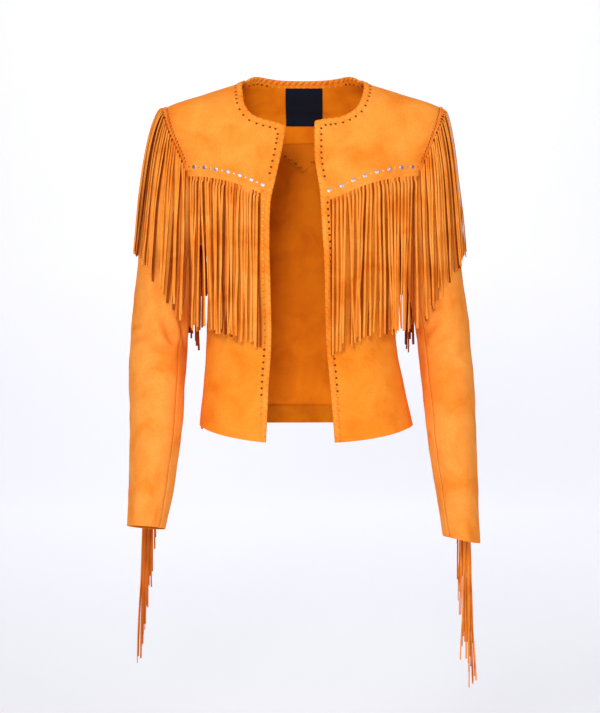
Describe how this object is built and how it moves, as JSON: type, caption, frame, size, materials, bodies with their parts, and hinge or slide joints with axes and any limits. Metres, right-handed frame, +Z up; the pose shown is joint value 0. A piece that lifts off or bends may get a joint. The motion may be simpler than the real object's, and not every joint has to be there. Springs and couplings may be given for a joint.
{
  "type": "fringed suede jacket",
  "caption": "Open-front collarless cropped suede jacket with curved yokes, laced edges and long hanging fringe, filled out as worn with nobody in it.",
  "frame": {"origin": "middle of the neck opening, at the height of the shoulders, where the wearer's neck and shoulders hold the jacket", "axes": "-Y towards the open front, +Z up, +X towards the wearer's left"},
  "size_m": [0.4956, 0.225, 0.8661],
  "materials": {
    "suede": "soft matt nap",
    "yoke_suede": "soft matt nap",
    "inner_suede": "matt inner side",
    "label_cloth": "plain woven, bare"
  },
  "bodies": {
    "root": {"front_yoke_right": "yoke_suede", "front_yoke_left": "yoke_suede", "back_yoke": "yoke_suede", "front_right": "suede", "front_left": "suede", "back": "suede", "upper_sleeve_right": "suede", "upper_sleeve_left": "suede", "under_sleeve_right": "suede", "under_sleeve_left": "suede", "front_edge_lacing_right": "suede", "front_edge_lacing_left": "suede", "neck_edge_lacing": "suede", "chest_fringe_right": "suede", "chest_fringe_left": "suede", "armhole_fringe_right": "suede", "armhole_fringe_left": "suede", "sleeve_fringe_right": "suede", "sleeve_fringe_left": "suede", "back_fringe": "suede", "back_neck_facing": "inner_suede", "back_hem_turnup": "inner_suede", "label": "label_cloth"}
  },
  "joints": []
}
